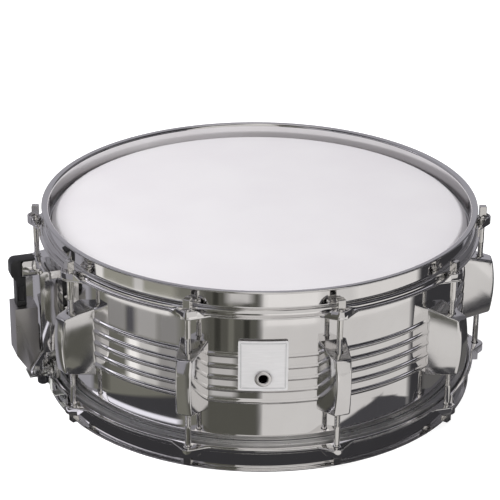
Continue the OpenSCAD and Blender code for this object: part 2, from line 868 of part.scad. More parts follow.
shell();
vent_grommet();
badge();
batter_head_film();
batter_flesh_hoop();
batter_hoop();
snare_head_film();
snare_flesh_hoop();
snare_side_hoop();
lug(1);  // lug_1
lug(2);  // lug_2
lug(3);  // lug_3
lug(4);  // lug_4
lug(5);  // lug_5
lug(6);  // lug_6
lug(7);  // lug_7
lug(8);  // lug_8
lug(9);  // lug_9
lug(10);  // lug_10
batter_rod(1);  // batter_rod_1
batter_rod(2);  // batter_rod_2
batter_rod(3);  // batter_rod_3
batter_rod(4);  // batter_rod_4
batter_rod(5);  // batter_rod_5
batter_rod(6);  // batter_rod_6
batter_rod(7);  // batter_rod_7
batter_rod(8);  // batter_rod_8
batter_rod(9);  // batter_rod_9
batter_rod(10);  // batter_rod_10
snare_rod(1);  // snare_rod_1
snare_rod(2);  // snare_rod_2
snare_rod(3);  // snare_rod_3
snare_rod(4);  // snare_rod_4
snare_rod(5);  // snare_rod_5
snare_rod(6);  // snare_rod_6
snare_rod(7);  // snare_rod_7
snare_rod(8);  // snare_rod_8
snare_rod(9);  // snare_rod_9
snare_rod(10);  // snare_rod_10
swivel_nuts();
nut_retainers();
gaskets();
shell_screws();
shell_screw_washers();
rod_washers();
strainer_housing();
throw_off_lever();
lever_grip();
lever_pin();
snare_carriage();
strainer_clamp_plate();
strainer_clamp_screws();
tension_knob();
adjusting_screw();
butt_plate();
butt_clamp_plate();
butt_clamp_screws();
snare_wires();
snare_end_plates();
snare_straps();
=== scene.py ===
"""The looks of the snare drum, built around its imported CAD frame.

Everything is in the CAD frame: the drum's axis is Z, the lower rim lies at z = 0 and the badge faces -Y.
Sizes are written in mm and turned into metres where a mesh is made. Azimuths turn from -Y towards +X.
"""

import json
import math

import bmesh
import bpy
import numpy as np
from mathutils import Matrix, Vector


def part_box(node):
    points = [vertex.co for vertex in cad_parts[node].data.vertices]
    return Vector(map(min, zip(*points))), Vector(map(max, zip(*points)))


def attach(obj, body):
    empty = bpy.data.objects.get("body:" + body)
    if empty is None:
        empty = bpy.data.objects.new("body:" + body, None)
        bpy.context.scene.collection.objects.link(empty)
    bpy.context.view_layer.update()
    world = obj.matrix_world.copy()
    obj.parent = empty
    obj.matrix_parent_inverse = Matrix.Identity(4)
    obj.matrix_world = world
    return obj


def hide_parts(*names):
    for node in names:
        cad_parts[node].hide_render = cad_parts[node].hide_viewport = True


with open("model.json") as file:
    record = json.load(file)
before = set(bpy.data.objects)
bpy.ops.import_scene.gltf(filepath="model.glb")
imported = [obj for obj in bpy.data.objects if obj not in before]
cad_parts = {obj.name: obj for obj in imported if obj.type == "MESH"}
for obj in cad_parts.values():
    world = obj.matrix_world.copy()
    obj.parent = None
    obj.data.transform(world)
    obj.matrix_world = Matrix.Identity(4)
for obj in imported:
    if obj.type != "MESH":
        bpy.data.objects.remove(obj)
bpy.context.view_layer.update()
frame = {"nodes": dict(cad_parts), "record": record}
NODES = frame["nodes"]
RECORD = frame["record"]
BODY_OF = {n: b for b, members in RECORD["behaviour"]["bodies"].items() for n in members}
SLOT_OF = {s["node"]: s["material_slot"] for s in RECORD["subparts"]}
MM = 0.001


# ---------------------------------------------------------------- sizes, in mm

def corner(node, side, axis):
    """One coordinate of a CAD node's box, in mm: side 0 is the low corner, axis is 0, 1 or 2."""
    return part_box(node)[side][axis] / MM


TOTAL_H = corner("batter_hoop", 1, 2)
MID_Z = TOTAL_H / 2
EDGE_HI = corner("shell", 1, 2)
EDGE_LO = corner("shell", 0, 2)
BADGE_LO = corner("badge", 0, 2)
BADGE_HI = corner("badge", 1, 2)
VENT_Z = (corner("vent_grommet", 0, 2) + corner("vent_grommet", 1, 2)) / 2
WIRE_Z = (corner("snare_wires", 0, 2) + corner("snare_wires", 1, 2)) / 2
LUG_HALF = (corner("lug_1", 1, 2) - corner("lug_1", 0, 2)) / 2

SHELL_R = 177.8
SHELL_WALL = 1.2
EDGE_TURN = 4
BEAD_COUNT = 5
BEAD_PITCH = 10.2
BEAD_W = 5
BEAD_H = 1.5
BED_DEPTH = 1.5
BED_W = 110
PAD_R = SHELL_R + BEAD_H + 0.5
LUG_COUNT = 10
LUG_STEP = 360 / LUG_COUNT
LUG_AZ0 = 18
ROD_CIRCLE = 193
STRAINER_AZ = -72
BUTT_AZ = STRAINER_AZ + 180
LUG_AZIMUTHS = [LUG_AZ0 + k * LUG_STEP for k in range(LUG_COUNT)]
LUG_SCREW_Z = 5.1
STRAINER_SCREW_Z = (-22, 26, 36)
BUTT_SCREW_Z = -31
BUTT_SCREW_TURN = 3.87
SUPPORT = 0.12  # how far a support point lies from the arc that it keeps from tilting a flat face's shading


# ---------------------------------------------------------------- camera

def aim_camera():
    """Looks down at the drum's centre, which sits a little right of and below the middle of the picture."""
    azimuth, elevation, roll = math.radians(-1.4), math.radians(25.38), math.radians(0.68)
    distance, pan, tilt = 1.7158, math.radians(0.2536), math.radians(0.9682)
    back = Vector((
        math.sin(azimuth) * math.cos(elevation),
        -math.cos(azimuth) * math.cos(elevation),
        math.sin(elevation)))
    right = Vector((math.cos(azimuth), math.sin(azimuth), 0))
    up = back.cross(right)
    turned = right * math.cos(roll) + up * math.sin(roll)
    base = Matrix((turned, back.cross(turned), back)).transposed().to_quaternion()
    centre_seen = Vector((math.tan(pan), -math.tan(tilt), -1)).normalized()
    data = bpy.data.cameras.new("camera")
    data.lens = 140.85
    data.sensor_width = 36
    data.clip_start, data.clip_end = 0.05, 50
    camera = bpy.data.objects.new("camera", data)
    camera.rotation_mode = "QUATERNION"
    camera.rotation_quaternion = base @ centre_seen.rotation_difference(Vector((0, 0, -1)))
    camera.location = Vector((0, 0, MID_Z * MM)) + back * distance
    bpy.context.scene.collection.objects.link(camera)
    bpy.context.scene.camera = camera
    return camera.location / MM


CAMERA_AT = aim_camera()


# ---------------------------------------------------------------- mesh helpers

def at(w, t, z, az):
    """The point at distance w from the axis and t along the wall, on the azimuth az, at height z."""
    a = math.radians(az)
    return (w * math.sin(a) + t * math.cos(a), -w * math.cos(a) + t * math.sin(a), z)


def rounded(corners, segments=6, support=SUPPORT):
    """Turns (x, y, radius) corners of a closed outline into points, with a support point beside each arc."""
    points, n = [], len(corners)
    for i, (x, y, r) in enumerate(corners):
        here = np.array((x, y), float)
        if r <= 0:
            points.append(here)
            continue
        before = np.array(corners[i - 1][:2], float) - here
        after = np.array(corners[(i + 1) % n][:2], float) - here
        before, after = before / np.linalg.norm(before), after / np.linalg.norm(after)
        half = math.acos(max(-1, min(1, before @ after))) / 2
        reach = r / math.tan(half)
        middle = here + (before + after) / np.linalg.norm(before + after) * r / math.sin(half)
        start, end = here + before * reach - middle, here + after * reach - middle
        turn = math.atan2(start[0] * end[1] - start[1] * end[0], start @ end)
        points.append(middle + start + before * support)
        for k in range(segments + 1):
            c, s = math.cos(turn * k / segments), math.sin(turn * k / segments)
            points.append(middle + (start[0] * c - start[1] * s, start[0] * s + start[1] * c))
        points.append(middle + end + after * support)
    return np.array(points)


def bent_sheet(line, t, segments=7):
    """The closed outline of a sheet t thick along a line of (x, y, bend radius) points, with rounded tips."""
    centre, normals = [], []
    for i, (x, y, r) in enumerate(line):
        here = np.array((x, y), float)
        if i in (0, len(line) - 1):
            other = np.array(line[1 if i == 0 else i - 1][:2], float)
            d = (other - here) if i == 0 else (here - other)
            d = d / np.linalg.norm(d)
            centre.append(here)
            normals.append(np.array((-d[1], d[0])))
            continue
        d0 = here - np.array(line[i - 1][:2], float)
        d1 = np.array(line[i + 1][:2], float) - here
        d0, d1 = d0 / np.linalg.norm(d0), d1 / np.linalg.norm(d1)
        turn = math.atan2(d0[0] * d1[1] - d0[1] * d1[0], d0 @ d1)
        reach = r * math.tan(abs(turn) / 2)
        side = math.copysign(1, turn)
        n0 = np.array((-d0[1], d0[0]))
        middle = here - d0 * reach + n0 * side * r
        for k in range(-1, segments + 2):
            a = turn * min(max(k, 0), segments) / segments
            c, s = math.cos(a), math.sin(a)
            normal = np.array((n0[0] * c - n0[1] * s, n0[0] * s + n0[1] * c))
            shift = d0 * -SUPPORT if k < 0 else d1 * SUPPORT if k > segments else 0
            centre.append(middle - normal * side * r + shift)
            normals.append(normal)
    centre, normals = np.array(centre), np.array(normals)
    left, right = centre + normals * t / 2, centre - normals * t / 2

    def tip(c, n, d):
        return [c + (n * math.cos(a) + d * math.sin(a)) * t / 2 for a in np.linspace(0, math.pi, 9)[1:-1]]

    d_end = np.array((normals[-1][1], -normals[-1][0]))
    d_start = -np.array((normals[0][1], -normals[0][0]))
    last_tip, first_tip = tip(centre[-1], normals[-1], d_end), tip(centre[0], -normals[0], d_start)
    return np.array([*left, *last_tip, *right[::-1], *first_tip])


def new_mesh(name, points, faces, sharp=32):
    """A mesh from points in mm, its faces turned outwards and shaded smooth except over sharp corners."""
    mesh = bpy.data.meshes.new(name)
    mesh.from_pydata((np.asarray(points, float) * MM).tolist(), [], faces)
    work = bmesh.new()
    work.from_mesh(mesh)
    bmesh.ops.recalc_face_normals(work, faces=work.faces)
    work.to_mesh(mesh)
    work.free()
    mesh.shade_smooth()
    mesh.set_sharp_from_angle(angle=math.radians(sharp))
    return mesh


def ring_faces(columns, rows, around=True, closed=True):
    """Quads over a grid of points stored column by column. around joins the last column to the first."""
    c = np.arange(columns if around else columns - 1)
    r = np.arange(rows if closed else rows - 1)
    c, r = np.meshgrid(c, r, indexing="ij")
    c, r = c.ravel(), r.ravel()
    c1, r1 = (c + 1) % columns, (r + 1) % rows
    return np.stack([c * rows + r, c1 * rows + r, c1 * rows + r1, c * rows + r1], 1).tolist()


def lathe(name, outline, steps=720, shape=None, azimuths=None, sharp=32):
    """Turns a closed (radius, z) outline about the drum's axis. shape(r, z, az) may move the points."""
    az = np.linspace(0, 360, steps, endpoint=False) if azimuths is None else np.asarray(azimuths)
    az, r = np.meshgrid(az, outline[:, 0], indexing="ij")
    z = np.broadcast_to(outline[:, 1], r.shape)
    if shape:
        r, z = shape(r, z, az)
    a = np.radians(az)
    points = np.stack([r * np.sin(a), -r * np.cos(a), z], -1).reshape(-1, 3)
    return new_mesh(name, points, ring_faces(az.shape[0], az.shape[1]), sharp)


def spun(name, outline, steps=48, sharp=32):
    """A small closed solid: an open (radius, z) outline from axis to axis, turned about Z."""
    inner = outline[1:-1]
    a = np.linspace(0, 2 * math.pi, steps, endpoint=False)
    points = [(r * math.cos(x), r * math.sin(x), z) for x in a for r, z in inner]
    faces = ring_faces(steps, len(inner), closed=False)
    low, high = len(points), len(points) + 1
    points += [(0, 0, outline[0][1]), (0, 0, outline[-1][1])]
    n = len(inner)
    for k in range(steps):
        k1 = (k + 1) % steps
        faces.append([low, k * n, k1 * n])
        faces.append([high, k * n + n - 1, k1 * n + n - 1])
    return new_mesh(name, points, faces, sharp)


def prism(name, outline, z0, z1, sharp=32):
    """A straight solid over a closed (x, y) outline."""
    n = len(outline)
    points = [(x, y, z) for z in (z0, z1) for x, y in outline]
    faces = [[i, (i + 1) % n, n + (i + 1) % n, n + i] for i in range(n)]
    faces += [list(range(n))[::-1], list(range(n, 2 * n))]
    return new_mesh(name, points, faces, sharp)


def joined(name, meshes, sharp=None):
    """Several separate solids as one mesh."""
    work = bmesh.new()
    for mesh in meshes:
        work.from_mesh(mesh)
    out = bpy.data.meshes.new(name)
    work.to_mesh(out)
    work.free()
    if sharp:
        out.shade_smooth()
        out.set_sharp_from_angle(angle=math.radians(sharp))
    return out


def moved(mesh, matrix):
    """A copy of a mesh, carried by a matrix whose shift is in mm."""
    out = mesh.copy()
    m = matrix.copy()
    m.translation = m.translation * MM
    out.transform(m)
    if m.determinant() < 0:
        out.flip_normals()
    return out


def to_azimuth(az, w=0, z=0):
    """Carries a piece drawn at the origin, with -Y pointing outwards, to (w, z) on an azimuth."""
    return Matrix.Rotation(math.radians(az), 4, "Z") @ Matrix.Translation((0, -w, z))


UPSIDE_DOWN = Matrix.Translation((0, 0, TOTAL_H)) @ Matrix.Diagonal((1, 1, -1, 1))


def evaluated(mesh, add_modifiers):
    """The mesh after the modifiers that add_modifiers(object) puts on it."""
    temp = bpy.data.objects.new("temp", mesh)
    bpy.context.scene.collection.objects.link(temp)
    others = add_modifiers(temp) or []
    graph = bpy.context.evaluated_depsgraph_get()
    out = bpy.data.meshes.new_from_object(temp.evaluated_get(graph))
    for o in [temp, *others]:
        bpy.data.objects.remove(o)
    return out


def combine(mesh, other, operation="DIFFERENCE", sharp=32):
    """mesh with the solid other cut out of it, or joined to it."""
    def add(temp):
        tool = bpy.data.objects.new("tool", other)
        bpy.context.scene.collection.objects.link(tool)
        modifier = temp.modifiers.new("cut", "BOOLEAN")
        modifier.object, modifier.operation, modifier.solver = tool, operation, "MANIFOLD"
        return [tool]

    out = evaluated(mesh, add)
    out.shade_smooth()
    out.set_sharp_from_angle(angle=math.radians(sharp))
    return out


def softened(mesh, width, segments=3, angle=40):
    """The mesh with its sharp edges rounded."""
    def add(temp):
        bevel = temp.modifiers.new("bevel", "BEVEL")
        bevel.width, bevel.segments, bevel.limit_method = width * MM, segments, "ANGLE"
        bevel.angle_limit = math.radians(angle)
        bevel.miter_outer = "MITER_ARC"

    out = evaluated(mesh, add)
    out.shade_smooth()
    out.set_sharp_from_angle(angle=math.radians(50))
    return out


def radial_bar(r, w0, w1, az, z, sides=32):
    """A round bar pointing outwards, as a cutter or a pin."""
    bar = spun("bar", [(0, 0), (r, 0), (r, w1 - w0), (0, w1 - w0)], sides)
    turn = Matrix.Rotation(math.radians(90), 4, "X")
    return moved(bar, to_azimuth(az, w0, z) @ turn)


# ---------------------------------------------------------------- materials

class Paint:
    """A Principled material and the few nodes that give it its detail."""

    def __init__(self, name, color, metallic=0.0, roughness=0.4, **sockets):
        self.material = bpy.data.materials.new(name)
        self.material.use_nodes = True
        self.nodes, self.links = self.material.node_tree.nodes, self.material.node_tree.links
        self.shader = self.nodes["Principled BSDF"]
        self.shader.inputs["Base Color"].default_value = (*color, 1)
        self.shader.inputs["Metallic"].default_value = metallic
        self.shader.inputs["Roughness"].default_value = roughness
        for key, value in sockets.items():
            self.shader.inputs[key.replace("_", " ")].default_value = value
        self.where = self.nodes.new("ShaderNodeTexCoord").outputs["Object"]

    def noise(self, scale, detail=3.0, stretch=None, roughness=0.5):
        """Noise at so many cells a metre, stretched along an axis if asked."""
        noise = self.nodes.new("ShaderNodeTexNoise")
        noise.inputs["Scale"].default_value = scale
        noise.inputs["Detail"].default_value = detail
        noise.inputs["Roughness"].default_value = roughness
        where = self.where
        if stretch:
            mapping = self.nodes.new("ShaderNodeMapping")
            mapping.inputs["Scale"].default_value = stretch
            self.links.new(where, mapping.inputs["Vector"])
            where = mapping.outputs["Vector"]
        self.links.new(where, noise.inputs["Vector"])
        return noise.outputs["Fac"]

    def ranged(self, value, low, high, start=0.3, end=0.7):
        node = self.nodes.new("ShaderNodeMapRange")
        for key, number in zip(("From Min", "From Max", "To Min", "To Max"), (start, end, low, high)):
            node.inputs[key].default_value = number
        self.links.new(value, node.inputs["Value"])
        return node.outputs["Result"]

    def rough(self, value, low, high):
        self.links.new(self.ranged(value, low, high), self.shader.inputs["Roughness"])
        return self

    def tint(self, value, first, second, start=0.35, end=0.65):
        ramp = self.nodes.new("ShaderNodeValToRGB")
        ramp.color_ramp.elements[0].position, ramp.color_ramp.elements[1].position = start, end
        ramp.color_ramp.elements[0].color, ramp.color_ramp.elements[1].color = (*first, 1), (*second, 1)
        self.links.new(value, ramp.inputs["Fac"])
        self.links.new(ramp.outputs["Color"], self.shader.inputs["Base Color"])
        return self

    def bump(self, value, height, strength=1.0):
        """height is the relief in mm."""
        node = self.nodes.new("ShaderNodeBump")
        node.inputs["Strength"].default_value = strength
        node.inputs["Distance"].default_value = height * MM
        self.links.new(value, node.inputs["Height"])
        if self.shader.inputs["Normal"].is_linked:
            self.links.new(self.shader.inputs["Normal"].links[0].from_socket, node.inputs["Normal"])
        self.links.new(node.outputs["Normal"], self.shader.inputs["Normal"])
        return self


def chrome(name, first=(0.81, 0.80, 0.795), second=(0.86, 0.855, 0.85), ripple=0.004, ripple_scale=45,
           polish=(0.03, 0.07)):
    """Mirror chrome: a faint smudge in colour and polish, and a slight waviness of the metal."""
    paint = Paint(name, second, metallic=1.0)
    paint.tint(paint.noise(22, 4), first, second)
    paint.rough(paint.noise(60, 5), *polish)
    paint.bump(paint.noise(ripple_scale, 2), ripple)
    return paint.material


def plated(name, color=(0.62, 0.62, 0.60), rough=(0.16, 0.30)):
    """Bright zinc plate with a fine grain."""
    paint = Paint(name, color, metallic=1.0)
    paint.tint(paint.noise(90, 4), tuple(c * 0.9 for c in color), color)
    paint.rough(paint.noise(240, 4), *rough)
    paint.bump(paint.noise(900, 3), 0.006)
    return paint.material


def coated_film():
    """The sprayed white coat of the batter head: a fine dry grain over a faint mottle."""
    paint = Paint("coated_film", (0.88, 0.85, 0.885), roughness=0.6)
    paint.tint(paint.noise(14, 3), (0.865, 0.835, 0.87), (0.89, 0.865, 0.895))
    paint.rough(paint.noise(500, 4), 0.5, 0.68)
    paint.bump(paint.noise(2600, 4, roughness=0.7), 0.02)
    return paint.material


def clear_film():
    """The thin hazy film of the snare-side head."""
    paint = Paint("clear_film", (0.80, 0.82, 0.84), roughness=0.12, Alpha=0.34)
    paint.tint(paint.noise(30, 3), (0.76, 0.78, 0.80), (0.84, 0.86, 0.88))
    paint.rough(paint.noise(70, 4), 0.08, 0.2)
    paint.bump(paint.noise(40, 2), 0.01)
    return paint.material


def rolled_aluminium():
    paint = Paint("head_hoop", (0.74, 0.74, 0.74), metallic=1.0)
    paint.tint(paint.noise(50, 3), (0.66, 0.66, 0.66), (0.76, 0.76, 0.76))
    paint.rough(paint.noise(600, 4, stretch=(0.1, 0.1, 1)), 0.24, 0.4)
    paint.bump(paint.noise(1500, 3, stretch=(0.05, 0.05, 1)), 0.005)
    return paint.material


def turned_brass():
    paint = Paint("brass_nut", (0.78, 0.62, 0.33), metallic=1.0)
    paint.tint(paint.noise(200, 3), (0.66, 0.50, 0.24), (0.80, 0.64, 0.36))
    paint.rough(paint.noise(500, 3, stretch=(0.2, 0.2, 1)), 0.2, 0.36)
    paint.bump(paint.noise(2600, 2, stretch=(0.05, 0.05, 1)), 0.01)
    return paint.material


def moulded(name, color, rough, grain=0.012, scale=1800):
    """Moulded plastic or rubber with a spark-eroded grain."""
    paint = Paint(name, color)
    paint.tint(paint.noise(120, 4), tuple(c * 0.8 for c in color), tuple(min(1, c * 1.15) for c in color))
    paint.rough(paint.noise(260, 4), *rough)
    paint.bump(paint.noise(scale, 4, roughness=0.65), grain)
    return paint.material


def brushed_plate():
    """The badge: pale satin plate, brushed along its width."""
    paint = Paint("badge_plate", (0.80, 0.79, 0.79), metallic=0.15)
    paint.tint(paint.noise(700, 4, stretch=(0.12, 0.12, 1)), (0.64, 0.63, 0.635), (0.68, 0.67, 0.675))
    paint.rough(paint.noise(900, 3, stretch=(0.1, 0.1, 1)), 0.36, 0.48)
    paint.bump(paint.noise(2400, 2, stretch=(0.05, 0.05, 1)), 0.004)
    return paint.material


def dark_paint(name, color, rough):
    paint = Paint(name, color, metallic=0.7)
    paint.tint(paint.noise(300, 4), tuple(c * 0.7 for c in color), tuple(c * 1.3 for c in color))
    paint.rough(paint.noise(500, 4), *rough)
    paint.bump(paint.noise(1500, 3), 0.008)
    return paint.material


MATERIALS = {
    "chrome_shell": chrome("chrome_shell", ripple=0.0022, ripple_scale=28, polish=(0.03, 0.06)),
    "chrome_trim": chrome("chrome_trim", ripple=0.004, polish=(0.05, 0.10)),
    "chrome_hoop": chrome("chrome_hoop", ripple=0.0025, ripple_scale=40),
    "chrome_lug": chrome("chrome_lug", ripple=0.008, ripple_scale=70, polish=(0.07, 0.13)),
    "badge_plate": brushed_plate(),
    "coated_film": coated_film(),
    "clear_film": clear_film(),
    "head_hoop": rolled_aluminium(),
    "rod_steel": chrome("rod_steel", (0.74, 0.73, 0.71), (0.82, 0.81, 0.79), ripple=0.003, ripple_scale=200,
                        polish=(0.06, 0.14)),
    "brass_nut": turned_brass(),
    "black_plastic": moulded("black_plastic", (0.03, 0.03, 0.03), (0.4, 0.55)),
    "gasket_rubber": moulded("gasket_rubber", (0.02, 0.02, 0.02), (0.6, 0.8), grain=0.02, scale=900),
    "plated_steel": plated("plated_steel"),
    "grip_plastic": moulded("grip_plastic", (0.012, 0.012, 0.013), (0.28, 0.42)),
    "dark_metal": dark_paint("dark_metal", (0.05, 0.05, 0.055), (0.3, 0.45)),
    "snare_steel": plated("snare_steel", (0.66, 0.66, 0.65), (0.12, 0.24)),
    "strap_plastic": moulded("strap_plastic", (0.72, 0.72, 0.69), (0.3, 0.45), grain=0.006),
}
SATIN = chrome("satin_chrome", (0.38, 0.37, 0.363), (0.46, 0.448, 0.44), ripple=0.004, polish=(0.26, 0.34))
ENGRAVED = moulded("engraved_ink", (0.30, 0.30, 0.31), (0.4, 0.6))


def stand_for(mesh, *nodes, name=None, material=None):
    """Shows a mesh in place of CAD nodes of one body, with their body and finish."""
    piece = bpy.data.objects.new(name or nodes[0] + "_made", mesh)
    bpy.context.scene.collection.objects.link(piece)
    mesh.materials.clear()
    mesh.materials.append(material or MATERIALS[SLOT_OF[nodes[0]]])
    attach(piece, BODY_OF[nodes[0]])
    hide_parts(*nodes)
    return piece


# ---------------------------------------------------------------- shell

def screw_places():
    """(azimuth, z) of each screw that passes the shell."""
    places = [(az, MID_Z + s * LUG_SCREW_Z) for az in LUG_AZIMUTHS for s in (-1, 1)]
    places += [(STRAINER_AZ, MID_Z + z) for z in STRAINER_SCREW_Z]
    return places + [(BUTT_AZ + s * BUTT_SCREW_TURN, MID_Z + BUTT_SCREW_Z) for s in (-1, 1)]


def wall_line(r, steps):
    """The beaded wall from bottom to top, with so many steps over each bead."""
    points = []
    for i in range(BEAD_COUNT):
        z = MID_Z + (i - (BEAD_COUNT - 1) / 2) * BEAD_PITCH
        points.append((r, z - BEAD_W / 2 - SUPPORT, 0))
        for k in range(steps + 1):
            u = k / steps
            points.append((r + BEAD_H * math.sin(math.pi * u) ** 1.4, z + BEAD_W * (u - 0.5), 0))
        points.append((r, z + BEAD_W / 2 + SUPPORT, 0))
    return points


def shell_mesh():
    """The beaded wall with its turned-in edges, snare beds, vent and screw holes."""
    lip, back = SHELL_WALL * 1.414, SHELL_R - SHELL_WALL
    edge = SHELL_R - EDGE_TURN
    inner_turn = EDGE_TURN + lip - SHELL_WALL
    outline = rounded([
        (edge - lip, EDGE_LO, 0.3), (edge, EDGE_LO, 0.4), (SHELL_R, EDGE_LO + EDGE_TURN, 2.0),
        *wall_line(SHELL_R, 12),
        (SHELL_R, EDGE_HI - EDGE_TURN, 2.0), (edge, EDGE_HI, 0.4), (edge - lip, EDGE_HI, 0.3),
        (back, EDGE_HI - inner_turn, 1.2),
        *wall_line(back, 8)[::-1],
        (back, EDGE_LO + inner_turn, 1.2)])
    bed_r = (BED_W ** 2 / 4 + BED_DEPTH ** 2) / (2 * BED_DEPTH)

    def beds(r, z, az):
        across = r * np.sin(np.radians(az - STRAINER_AZ))
        floor = EDGE_LO + BED_DEPTH - bed_r + np.sqrt(bed_r ** 2 - across ** 2)
        return r, np.maximum(z, np.minimum(floor, EDGE_LO + BED_DEPTH))

    mesh = lathe("shell", outline, 480, beds)
    holes = [radial_bar(2.3, 170, 183, az, z, 20) for az, z in screw_places()]
    holes.append(radial_bar(5.4, 170, 183, 0, VENT_Z, 48))
    return combine(mesh, joined("holes", holes))


stand_for(shell_mesh(), "shell")


# ---------------------------------------------------------------- badge and vent

def bent_round(outline, r0, r1, z, name, inner=None):
    """A plate over a closed (t, height) outline, bent round the drum between two radii.
    With an inner outline of as many points, it is a frame."""
    def ring(line, r):
        a = line[:, 0] / r1
        return np.stack([r * np.sin(a), -r * np.cos(a), z + line[:, 1]], -1)

    n = len(outline)
    if inner is not None:
        loops = [ring(outline, r0), ring(outline, r1), ring(inner, r1), ring(inner, r0)]
        order = [[k * n + i for i in range(n)] for k in range(4)]
        faces = [[order[k][i], order[k][(i + 1) % n], order[(k + 1) % 4][(i + 1) % n], order[(k + 1) % 4][i]]
                 for k in range(4) for i in range(n)]
        return new_mesh(name, np.concatenate(loops), faces)
    half = n // 2
    faces = [[i, (i + 1) % n, n + (i + 1) % n, n + i] for i in range(n)]
    for base in (0, n):
        for i in range(half - 1):
            faces.append([base + i, base + i + 1, base + n - 2 - i, base + n - 1 - i])
    return new_mesh(name, np.concatenate([ring(outline, r0), ring(outline, r1)]), faces)


def plate_outline(w, h, r, columns=40, arc=5):
    """A rounded rectangle as two matching rows of points: its lower edge, then its upper edge backwards."""
    x = [-w / 2 + r - r * math.cos(k * math.pi / 2 / arc) for k in range(arc + 1)]
    x += list(np.linspace(-w / 2 + r, w / 2 - r, columns)[1:-1]) + [-v for v in x[::-1]]
    x = np.array(x)
    inset = np.maximum(np.abs(x) - (w / 2 - r), 0)
    y = h / 2 - r + np.sqrt(np.maximum(r * r - inset * inset, 0))
    return np.concatenate([np.stack([x, -y], -1), np.stack([x, y], -1)[::-1]])


def badge_pieces():
    """A plain curved plate with an engraved double frame and no mark."""
    w = 40
    h, z = BADGE_HI - BADGE_LO, (BADGE_HI + BADGE_LO) / 2
    face = SHELL_R + BEAD_H + 0.65
    plate = softened(bent_round(plate_outline(w, h, 1.5), face - 0.6, face, z, "badge"), 0.22, 3, 60)
    plate = combine(plate, radial_bar(5.3, 170, 190, 0, VENT_Z, 48))
    stand_for(plate, "badge")
    lines = []
    for inset, width in ((1.8, 0.35), (2.7, 0.15)):
        outer = plate_outline(w - 2 * inset, h - 2 * inset, 1.0)
        inner = plate_outline(w - 2 * inset - 2 * width, h - 2 * inset - 2 * width, 0.7)
        lines.append(bent_round(outer, face - 0.1, face + 0.015, z, "line", inner))
    stand_for(joined("badge_lines", lines, 30), "badge", name="badge_lines", material=ENGRAVED)


def grommet_mesh():
    """The rolled tube of the vent, with a rounded flange outside and inside the shell."""
    bore, outer, front, back = 3.6, 5.1, SHELL_R + BEAD_H + 2.2, 175.4
    outline = rounded([
        (bore, back, 0.5), (outer + 1.9, back, 0.4), (outer + 1.9, SHELL_R - SHELL_WALL - 0.1, 0.3),
        (outer, SHELL_R - SHELL_WALL - 0.1, 0), (outer, front - 1.45, 0), (outer + 1.9, front - 1.45, 0.3),
        (outer + 1.9, front, 1.0), (bore, front, 0.9)], 6, 0.05)
    tube = lathe("grommet", outline, 64)
    return moved(tube, Matrix.Translation((0, 0, VENT_Z)) @ Matrix.Rotation(math.radians(90), 4, "X"))


badge_pieces()
stand_for(grommet_mesh(), "vent_grommet")


# ---------------------------------------------------------------- heads

FILM_IN = SHELL_R + 0.5
COLLAR_LO = TOTAL_H - 17.3 - 7 + 0.4


def flesh_hoop_mesh():
    """The rolled aluminium channel that holds the film's edge."""
    top, lo = TOTAL_H - 17.35, TOTAL_H - 24.35
    r0, r1 = 178.75, 184.85
    outline = rounded([
        (r0, lo, 0.5), (r0 + 1.0, lo, 0.3), (r0 + 1.4, lo + 1.6, 0.5), (r1 - 1.4, lo + 1.6, 0.5),
        (r1 - 1.0, lo, 0.3), (r1, lo, 0.5), (r1, top, 2.0), (r0, top, 2.0)], 5, 0.05)
    return lathe("flesh_hoop", outline, 360)


def film_disc(name, t):
    """The film's outline from the axis out, over the edge and down, with its thickness."""
    top = EDGE_HI + 0.02
    edge, bend = SHELL_R - EDGE_TURN, EDGE_HI - EDGE_TURN - 0.5
    flat_r, miter = 155, t * 0.414
    under = [(0.5, top), (60, top), (120, top), (flat_r, top)]
    roll = rounded([
        (flat_r, top, 0), (edge, top, 3.0), (FILM_IN, bend, 2.0), (FILM_IN, COLLAR_LO, 0),
        (flat_r, COLLAR_LO, 0)], 8)[1:-1]
    over = rounded([
        (flat_r, top + t, 0), (edge + miter, top + t, 3.4), (FILM_IN + t, bend + miter, 2.4),
        (FILM_IN + t, COLLAR_LO, 0), (flat_r, COLLAR_LO, 0)], 8)[1:-1]
    outline = [(0, top), *under, *map(tuple, roll), *[tuple(p) for p in over[::-1]],
               *[(r, top + t) for r, _ in under[::-1]], (0, top + t)]
    return spun(name, outline, 720)


stand_for(film_disc("batter_head", 0.4), "batter_head_film")
stand_for(flesh_hoop_mesh(), "batter_flesh_hoop")
stand_for(moved(film_disc("snare_head", 0.3), UPSIDE_DOWN), "snare_head_film")
stand_for(moved(flesh_hoop_mesh(), UPSIDE_DOWN), "snare_flesh_hoop")


# ---------------------------------------------------------------- hoops

HOOP_T = 1.8
HOOP_D = 22.5
STEP_D = 17.3
FLANGE_R = 190
EAR_R = 7.2
EAR_HALF = 18
EAR_FOOT = 188
LIP_H = 5.5
LIP_SPAN = 3.9


